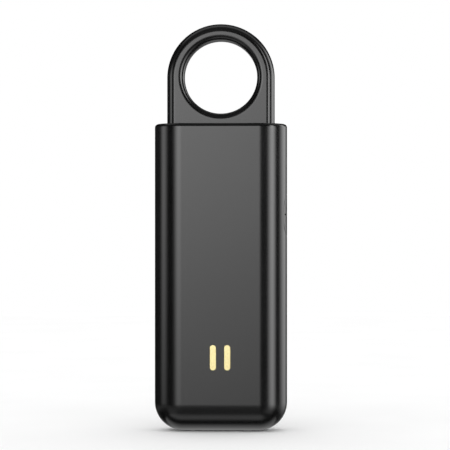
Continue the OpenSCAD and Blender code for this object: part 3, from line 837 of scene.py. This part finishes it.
def makeButton():
    back = halfWidth - buttonShape["depth"]
    obj = buttonPill("lightButton", 0, back, halfWidth)
    bevelEdges(obj, lambda e: allAt(e, lambda c: same(c.x, halfWidth)), buttonShape["edge"], buttonShape["edgeSteps"])
    for x in (halfWidth, back):
        ringInsets(obj, x, buttonShape["inset"], buttonShape["insets"])
    cutWith(obj, symbolBlock("symbolCutter", halfWidth + symbolShape["past"]))
    wrapToSide(obj)
    # rim behind the case wall, and the post that meets the switch
    rimEnds = (back + buttonShape["rimStep"], halfWidth - buttonShape["skin"])
    rim = buttonPill("rim", buttonShape["rim"], *rimEnds)
    for x in rimEnds:
        ringInsets(rim, x, buttonShape["rimInset"], buttonShape["insets"])
    wrapToSide(rim)
    cutWith(obj, rim, "UNION")
    postEnds = (back - buttonShape["postLength"], back + buttonShape["postRoot"])
    post = addRod("post", buttonMid, buttonShape["post"], *postEnds, 0, buttonShape["postSides"])
    cutWith(obj, post, "UNION")
    return obj


finishPiece(makeButton(), buttonPlastic, "button", ["light_button"])


# a dull near-black fill in most of the cut, which darkens the symbol
def makeDarkFill():
    top = halfWidth - symbolShape["depth"] + symbolShape["darkFill"]
    obj = symbolBlock("symbolDarkFill", top)

    def topEdge(e):
        return allAt(e, lambda c: same(c.x, top)) and abs(e.calc_face_angle(0)) > symbolShape["darkFillCorner"]

    bevelEdges(obj, topEdge, symbolShape["darkFillEdge"], symbolShape["darkFillSteps"], True)
    wrapToSide(obj)
    return obj


# near-black and dull, so that the cut symbol renders dark
def darkFillFinish():
    f = Finish("symbol dark fill")
    grain = f.noise(12000, 3)
    f.colour(f.between(grain, (0.002, 0.002, 0.002), (0.004, 0.004, 0.004)))
    f.rough(f.span(grain, 0.85, 0.95))
    f.bump(grain, 0.000003)
    f.set(Specular_IOR_Level=0.05)
    return f.material


# the near-black fill that darkens the cut symbol rides with the button
finishPiece(makeDarkFill(), darkFillFinish(), "button")


def makeBar(name, node):
    low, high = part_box(node)
    seat = high.y - barShape["flange"]
    obj = barPill(name, node, barShape["rim"], seat, high.y)
    openUp(obj, "FACE")
    pick(obj, "faces", lambda f: allAt(f, lambda c: same(c.y, seat)))
    bpy.ops.mesh.inset(thickness=barShape["rim"])
    extrudeBy(0, low.y - seat, 0)
    closeUp()
    bevelEdges(obj, lambda e: allAt(e, lambda c: same(c.y, low.y)), barShape["edge"], barShape["edgeSteps"])
    return obj


for barName, barNode in (("chargeBarLeft", "charge_bar_left"), ("chargeBarRight", "charge_bar_right")):
    finishPiece(makeBar(barName, barNode), goldFinish, "housing", [barNode])
print("button and bars done")


# lens over the light: a flange behind the case wall, a ridged front and a stem that takes light from the chip

lensShape = dict(
    sides=96, back=4 * mm, flange=4.8 * mm, stem=1.8 * mm, ridges=4, ridge=0.3 * mm, ridgeWall=0.02 * mm,
    ridgeDepth=0.12 * mm)


def makeLens():
    obj = addRod("lightLens", lensMid, lensHigh.x, lensShape["back"], lensShape["flange"], 1, lensShape["sides"])
    openUp(obj, "FACE")
    pick(obj, "faces", lambda f: f.normal.y > facing)
    bpy.ops.mesh.inset(thickness=frontShape["lensRim"])
    extrudeBy(0, lensHigh.y - lensShape["flange"], 0)
    for ridge in range(lensShape["ridges"]):
        bpy.ops.mesh.inset(thickness=lensShape["ridge"])
        bpy.ops.mesh.inset(thickness=lensShape["ridgeWall"], depth=-lensShape["ridgeDepth"])
        bpy.ops.mesh.inset(thickness=lensShape["ridge"], depth=lensShape["ridgeDepth"])
    pick(obj, "faces", lambda f: allAt(f, lambda c: same(c.y, lensShape["back"])))
    bpy.ops.mesh.inset(thickness=lensHigh.x - lensShape["stem"])
    extrudeBy(0, lensLow.y - lensShape["back"], 0)
    closeUp()
    return obj


def clearPlastic():
    f = Finish("clear plastic")
    flow = f.noise(350, 3)
    f.colour(f.between(flow, (0.9, 0.93, 0.94), (0.96, 0.98, 0.98)))
    f.rough(f.span(flow, 0.03, 0.08))
    f.bump(f.noise(1500, 2), 0.000002)
    f.set(Transmission_Weight=0.92, IOR=1.49)
    return f.material


finishPiece(makeLens(), clearPlastic(), "housing", ["light_lens"])
print("lens done")


# inner pieces keep their CAD form and get their own finishes

def dress(material, *nodes):
    for node in nodes:
        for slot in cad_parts[node].material_slots:
            slot.material = material


tin = (0.62, 0.61, 0.58)
epoxy = (0.012, 0.012, 0.013)
boardParts = dict(
    legs=0.55 * mm, legStep=0.02 * mm, tinnedEnd=0.39 * mm, capacitorRows=(31.4 * mm, 47.9 * mm),
    capacitorLength=2 * mm, resistorRows=(47.4 * mm, 51 * mm), resistorLength=1.6 * mm, lightRadius=1.12 * mm)


def within(f, value, middle, half):
    return f.math("LESS_THAN", f.math("ABSOLUTE", f.math("SUBTRACT", value, middle), 0), half)


# a moulded package with tinned legs, which stand out past its sides
def chipFinish(name, node):
    low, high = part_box(node)
    halfPackage = (high.x - low.x) / 2 - boardParts["legs"] + boardParts["legStep"]
    f = Finish(name)
    fine = f.noise(7000, 3)
    package = within(f, f.axes()["X"], (low.x + high.x) / 2, halfPackage)
    legMask = f.math("SUBTRACT", 1, package)
    f.colour(f.mix(legMask, f.between(fine, epoxy, (0.022, 0.022, 0.023)), tin))
    f.metal(legMask)
    f.rough(f.span(fine, 0.42, 0.6))
    f.bump(fine, 0.000004)
    return f.material


# ceramic blocks with tinned ends; rows are the heights of the blocks' middles
def blockFinish(name, dark, light, rows, length):
    f = Finish(name)
    fine = f.noise(6000, 3)
    up = f.axes()["Z"]
    bodies = [within(f, up, row, length / 2 - boardParts["tinnedEnd"]) for row in rows]
    endMask = f.math("SUBTRACT", 1, f.math("ADD", bodies[0], bodies[1]))
    f.colour(f.mix(endMask, f.between(fine, dark, light), tin))
    f.metal(endMask)
    f.rough(f.span(fine, 0.35, 0.5))
    f.bump(fine, 0.000003)
    return f.material


# solder mask over copper tracks
def boardFinish(name, scale):
    f = Finish(name)
    tracks = f.add("ShaderNodeTexBrick", offset=0.5)
    tracks.inputs["Color1"].default_value = (0, 0, 0, 1)
    tracks.inputs["Color2"].default_value = (0, 0, 0, 1)
    tracks.inputs["Mortar"].default_value = (1, 1, 1, 1)
    for socket, value in (("Scale", scale), ("Mortar Size", 0.035), ("Brick Width", 0.9), ("Row Height", 0.35)):
        tracks.inputs[socket].default_value = value
    turned = f.add("ShaderNodeMapping")
    turned.inputs["Rotation"].default_value = (math.pi / 2, 0, 0)
    f.links.new(f.place, turned.inputs["Vector"])
    f.links.new(turned.outputs["Vector"], tracks.inputs["Vector"])
    cloud = f.noise(500, 4)
    mask = f.between(cloud, (0.008, 0.085, 0.035), (0.012, 0.115, 0.05))
    f.colour(f.mix(tracks.outputs["Color"], mask, (0.03, 0.2, 0.085)))
    f.rough(f.span(cloud, 0.25, 0.38))
    f.bump(tracks.outputs["Color"], 0.00002)
    return f.material


# a pouch of laminated foil: soft wrinkles over a fine press grain
def foilFinish():
    f = Finish("cell foil")
    wrinkles = f.noise(260, 5)
    f.colour(f.between(wrinkles, (0.56, 0.57, 0.58), (0.68, 0.69, 0.7)))
    f.rough(f.span(f.noise(3000, 2), 0.24, 0.36))
    f.bump(wrinkles, 0.00015, 0.5)
    f.set(Metallic=1)
    return f.material


# threads both ways, spacing apart
def wovenFinish(name, dark, light, spacing, axes, depth):
    f = Finish(name)
    threads = f.math("MULTIPLY", f.waves(axes[0], spacing), f.waves(axes[1], spacing))
    f.colour(f.ramp(threads, [(0.05, dark), (0.6, light)]))
    f.rough(f.span(f.noise(900, 3), 0.7, 0.85))
    f.bump(threads, depth)
    return f.material


def foamFinish():
    f = Finish("foam")
    pores = f.cells(2600)
    f.colour(f.ramp(pores, [(0.1, (0.006, 0.006, 0.007)), (0.6, (0.035, 0.035, 0.038))]))
    f.rough(f.span(pores, 0.8, 0.95, 0, 0.6))
    f.bump(pores, 0.0001)
    return f.material


# white package with a yellow cover over the light chip
def ledFinish():
    low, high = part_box("light_led")
    f = Finish("light chip")
    cover = f.math("LESS_THAN", f.fromAxis(0, (low.z + high.z) / 2), boardParts["lightRadius"])
    grain = f.noise(5000, 3)
    white = f.between(grain, (0.76, 0.75, 0.71), (0.83, 0.82, 0.78))
    f.colour(f.mix(cover, white, (0.75, 0.5, 0.06)))
    f.rough(f.span(grain, 0.28, 0.4))
    f.bump(grain, 0.000003)
    return f.material


def dressInside():
    black = plainFinish("switch plastic", (0.008, 0.008, 0.009), (0.014, 0.014, 0.015), 0.42, 0.55, 1500)
    dress(black, "pull_switch_socket", "tact_plunger")
    dress(goldFinish, "switch_leaf_left", "switch_leaf_right", "bar_springs")
    can = lineMetal("switch can", (0.5, 0.5, 0.49), (0.6, 0.6, 0.59), 0.28, 0.4, (500, 500, 9000))
    dress(can, "tact_switch")
    dress(ledFinish(), "light_led")
    dress(boardFinish("board", 900), "main_board")
    dress(boardFinish("guard board", 1300), "battery_guard_board")
    screws = lineMetal("screw steel", (0.48, 0.48, 0.49), (0.58, 0.58, 0.6), 0.22, 0.36, (900, 14000, 900))
    dress(screws, "board_screws")
    for name, node in (
            ("controller", "controller_chip"), ("charger", "charger_chip"), ("driver", "driver_transistor")):
        dress(chipFinish(name, node), node)
    ferrite = plainFinish("ferrite", (0.03, 0.03, 0.032), (0.055, 0.055, 0.058), 0.6, 0.75, 2500, 0, 0.000012)
    dress(ferrite, "boost_coil")
    tan = blockFinish(
        "fired ceramic", (0.26, 0.15, 0.07), (0.34, 0.21, 0.1), boardParts["capacitorRows"],
        boardParts["capacitorLength"])
    dress(tan, "chip_capacitors")
    glaze = blockFinish(
        "resistor glaze", (0.008, 0.008, 0.009), (0.016, 0.016, 0.017), boardParts["resistorRows"],
        boardParts["resistorLength"])
    dress(glaze, "chip_resistors")
    dress(foilFinish(), "battery_cell")
    red = plainFinish("red insulation", (0.36, 0.012, 0.01), (0.45, 0.02, 0.015), 0.32, 0.44, 1200)
    dress(red, "battery_lead_red", "sounder_lead_red")
    sleeve = plainFinish("black insulation", (0.008, 0.008, 0.008), (0.014, 0.014, 0.014), 0.34, 0.46, 1200)
    dress(sleeve, "battery_lead_black", "sounder_lead_black")
    dress(wovenFinish("tape", (0.5, 0.49, 0.44), (0.72, 0.71, 0.66), 0.25 * mm, "XZ", 0.00002), "battery_tape")
    dress(foamFinish(), "battery_pad")
    brass = lineMetal("rolled brass", (0.6, 0.42, 0.16), (0.7, 0.51, 0.21), 0.25, 0.4, (200, 200, 6000))
    dress(brass, "sounder_plate")
    silver = plainFinish("silvered ceramic", (0.6, 0.59, 0.55), (0.72, 0.71, 0.67), 0.3, 0.46, 2200, 0.6, 0.000006)
    dress(silver, "sounder_disc")
    rubber = plainFinish("rubber", (0.007, 0.007, 0.007), (0.013, 0.013, 0.013), 0.68, 0.82, 2600, 0, 0.00001)
    dress(rubber, "sounder_gasket")
    dress(wovenFinish("sound mesh", (0.003, 0.003, 0.003), (0.05, 0.05, 0.052), 0.12 * mm, "XZ", 0.00003), "sound_mesh")


dressInside()
print("inner pieces dressed")


# camera, floor and light

# focal is in pixels of the frame
viewShape = dict(
    distance=0.45, turn=1.6, lookX=0.92 * mm, lookZ=46.53 * mm, focal=1982, frame=450, sensor=36, clip=0.01)


def addCamera():
    camera = bpy.data.cameras.new("photoCamera")
    camera.sensor_width = viewShape["sensor"]
    camera.lens = viewShape["focal"] / viewShape["frame"] * viewShape["sensor"]
    camera.clip_start = viewShape["clip"]
    obj = bpy.data.objects.new("photoCamera", camera)
    bpy.context.scene.collection.objects.link(obj)
    turn = math.radians(viewShape["turn"])
    away = Vector((math.sin(turn), -math.cos(turn), 0)) * viewShape["distance"]
    obj.location = Vector((viewShape["lookX"], 0, viewShape["lookZ"])) + away
    obj.rotation_euler = (math.pi / 2, 0, turn)
    bpy.context.scene.camera = obj


addCamera()

floorShape = dict(radius=0.6, sides=96, drop=0.02 * mm, shade=0.93, vary=0.01, patch=30, rough=0.9, gloss=0.1)


def addFloor():
    dropPicks()
    bpy.ops.mesh.primitive_circle_add(
        vertices=floorShape["sides"], radius=floorShape["radius"], fill_type="NGON",
        location=(0, 0, -floorShape["drop"]))
    floor = settle("floor")
    f = Finish("floor white")
    shade = floorShape["shade"]
    vary = floorShape["vary"]
    f.colour(f.between(f.noise(floorShape["patch"]), (shade - vary,) * 3, (shade + vary,) * 3))
    f.set(Roughness=floorShape["rough"], Specular_IOR_Level=floorShape["gloss"])
    floor.data.materials.append(f.material)
    floor.visible_glossy = False


addFloor()

# a drum of light panels and black flags around the set, which only reflections see
# turns are in degrees from the camera, to the right positive; heights are in metres
drumShape = dict(radius=0.58, low=-0.5, high=0.6, sides=180, endSides=96)
panelRows = [
    dict(  # broad panel behind the camera, brighter on its left, and a faint one behind the object
        strength=3.85,
        turns=[(-180, 0.07), (-173, 0.07), (-168, 0), (-41, 0), (-36, 0.11), (-20, 1), (-12, 1), (-5, 0.71),
               (4, 0.67), (9.5, 0.03), (30, 0.03), (40, 0), (168, 0), (173, 0.07), (180, 0.07)],
        heights=[(-0.5, 0.02), (-0.33, 0.02), (-0.17, 0.05), (-0.1, 0.15), (-0.05, 0.36), (-0.008, 0.435),
                 (0.034, 0.58), (0.093, 0.83), (0.14, 0.96), (0.18, 1), (0.21, 0.25), (0.25, 0.06), (0.36, 0.03)]),
    dict(  # strip on the left
        strength=2.1,
        turns=[(-165, 0.01), (-112, 0.03), (-102, 0.05), (-86, 1), (-78, 1), (-62, 0)],
        heights=[(-0.5, 0.01), (-0.12, 0.02), (-0.065, 0.08), (-0.035, 0.3), (0.093, 0.77), (0.15, 0.75), (0.22, 0.3),
                 (0.3, 0.04)]),
    dict(  # two strips on the right
        strength=5.4,
        turns=[(35, 0), (53, 1), (61, 1), (76, 0), (89, 0), (104, 0.33), (117, 0.53), (131, 0.48), (141, 0.2),
               (152, 0.02), (160, 0)],
        heights=[(-0.5, 0), (-0.3, 0.03), (-0.15, 0.22), (-0.039, 0.52), (0.093, 0.77), (0.15, 0.85), (0.2, 0)]),
    dict(  # their narrower upper ends
        strength=5.4,
        turns=[(49, 0), (55, 1), (61, 1), (70, 0), (100, 0), (107, 0.33), (117, 0.53), (129, 0.45), (136, 0)],
        heights=[(0.15, 0), (0.2, 0.85), (0.36, 0.75), (0.52, 0.25), (0.6, 0.1)]),
    dict(  # low panel behind
        strength=0.68,
        turns=[(-180, 1), (-166, 1), (-150, 0.15), (-130, 0), (130, 0), (150, 0.15), (166, 1), (180, 1)],
        heights=[(-0.5, 1), (-0.31, 0.75), (-0.15, 0.6), (-0.08, 0.3), (-0.03, 0)]),
    dict(  # low fill from both front corners
        strength=0.26,
        turns=[(-75, 0), (-60, 1), (-35, 1), (-20, 0.25), (20, 0.25), (35, 1), (60, 1), (75, 0)],
        heights=[(-0.5, 1), (-0.28, 1), (-0.2, 0.5), (-0.13, 0)]),
    dict(  # low fill on both sides
        strength=0.22,
        turns=[(-150, 0), (-120, 1), (-50, 1), (-25, 0), (25, 0), (50, 1), (120, 1), (150, 0)],
        heights=[(-0.5, 0), (-0.3, 0.03), (-0.2, 0.3), (-0.15, 0.9), (-0.11, 0.7), (-0.07, 0)]),
]
# strips across the drum's ends: depths run from the camera's side to the far side, sides from left to right
floorRows = [
    dict(  # strip in front, which stops short of the right side
        depths=[(-0.54, 0.1), (-0.46, 0.22), (-0.36, 0.48), (-0.27, 0.6), (-0.2, 0.5), (-0.13, 0.14), (-0.08, 0)],
        sides=[(-0.35, 1), (0.08, 1), (0.18, 0.45), (0.3, 0.08)]),
    dict(  # glow, seen only in reflections, that paints the reflection of a pale ground, rising towards the back
        depths=[(-0.13, 0), (-0.08, 0.02), (0.02, 0.01), (0.06, 0.1), (0.13, 0.4), (0.21, 0.54), (0.3, 0.6),
                (0.4, 0.66), (0.58, 0.68)],
        sides=[(-0.58, 1), (0.58, 1)]),
]
roofRows = [
    dict(
        depths=[(-0.58, 0.15), (-0.22, 0.07), (0.05, 0.1), (0.15, 0.6), (0.22, 0.6), (0.32, 0.2), (0.58, 0.15)],
        sides=[(-0.58, 1), (0.58, 1)]),
]


def onlyReflections(obj):
    obj.visible_camera = False
    obj.visible_diffuse = False
    obj.visible_transmission = False
    obj.visible_volume_scatter = False
    obj.visible_shadow = False


def glowBy(obj, f, level):
    f.material.cycles.emission_sampling = "NONE"
    glow = f.add("ShaderNodeEmission")
    f.links.new(level, glow.inputs["Strength"])
    f.links.new(glow.outputs["Emission"], f.nodes["Material Output"].inputs["Surface"])
    obj.data.materials.append(f.material)
    onlyReflections(obj)


# shares of a run from low to high, as grey stops
def greyStops(stops, low, high):
    return [((where - low) / (high - low), (level,) * 3) for where, level in stops]


def addDrum():
    low, high = drumShape["low"], drumShape["high"]
    dropPicks()
    bpy.ops.mesh.primitive_cylinder_add(
        vertices=drumShape["sides"], radius=drumShape["radius"], depth=high - low, end_fill_type="NOTHING",
        location=(0, 0, (low + high) / 2))
    drum = settle("lightDrum")
    f = Finish("light drum")
    axes = f.axes()
    around = f.math("ARCTAN2", axes["X"], f.math("MULTIPLY", axes["Y"], -1))
    turnShare = f.math("ADD", f.math("DIVIDE", around, 2 * math.pi), 0.5)
    heightShare = f.math("DIVIDE", f.math("SUBTRACT", axes["Z"], low), high - low)
    total = 0
    for row in panelRows:
        band = f.ramp(turnShare, greyStops(row["turns"], -180, 180))
        rise = f.ramp(heightShare, greyStops(row["heights"], low, high))
        total = f.math("ADD", total, f.math("MULTIPLY", f.math("MULTIPLY", band, rise), row["strength"]))
    glowBy(drum, f, total)


def addEnd(name, height, rows):
    reach = drumShape["radius"]
    dropPicks()
    bpy.ops.mesh.primitive_circle_add(
        vertices=drumShape["endSides"], radius=reach, fill_type="NGON", location=(0, 0, height))
    card = settle(name)
    f = Finish(name)
    axes = f.axes()
    depthShare = f.math("DIVIDE", f.math("ADD", axes["Y"], reach), 2 * reach)
    sideShare = f.math("DIVIDE", f.math("ADD", axes["X"], reach), 2 * reach)
    total = 0
    for row in rows:
        deep = f.ramp(depthShare, greyStops(row["depths"], -reach, reach))
        wide = f.ramp(sideShare, greyStops(row["sides"], -reach, reach))
        total = f.math("ADD", total, f.math("MULTIPLY", deep, wide))
    glowBy(card, f, total)


addDrum()
addEnd("drumFloor", drumShape["low"], floorRows)
addEnd("drumRoof", drumShape["high"], roofRows)


lampShape = dict(energy=0.35, spread=70)


def addLight():
    scene = bpy.context.scene
    world = bpy.data.worlds.new("white set")
    world.use_nodes = True
    world.node_tree.nodes["Background"].inputs["Color"].default_value = (1, 1, 1, 1)
    world.node_tree.nodes["Background"].inputs["Strength"].default_value = 1
    scene.world = world
    sun = bpy.data.lights.new("topLight", "SUN")
    sun.energy = lampShape["energy"]
    sun.angle = math.radians(lampShape["spread"])
    lamp = bpy.data.objects.new("topLight", sun)
    lamp.visible_glossy = False
    scene.collection.objects.link(lamp)


addLight()
bpy.context.scene.view_settings.view_transform = "Standard"
print("set done")
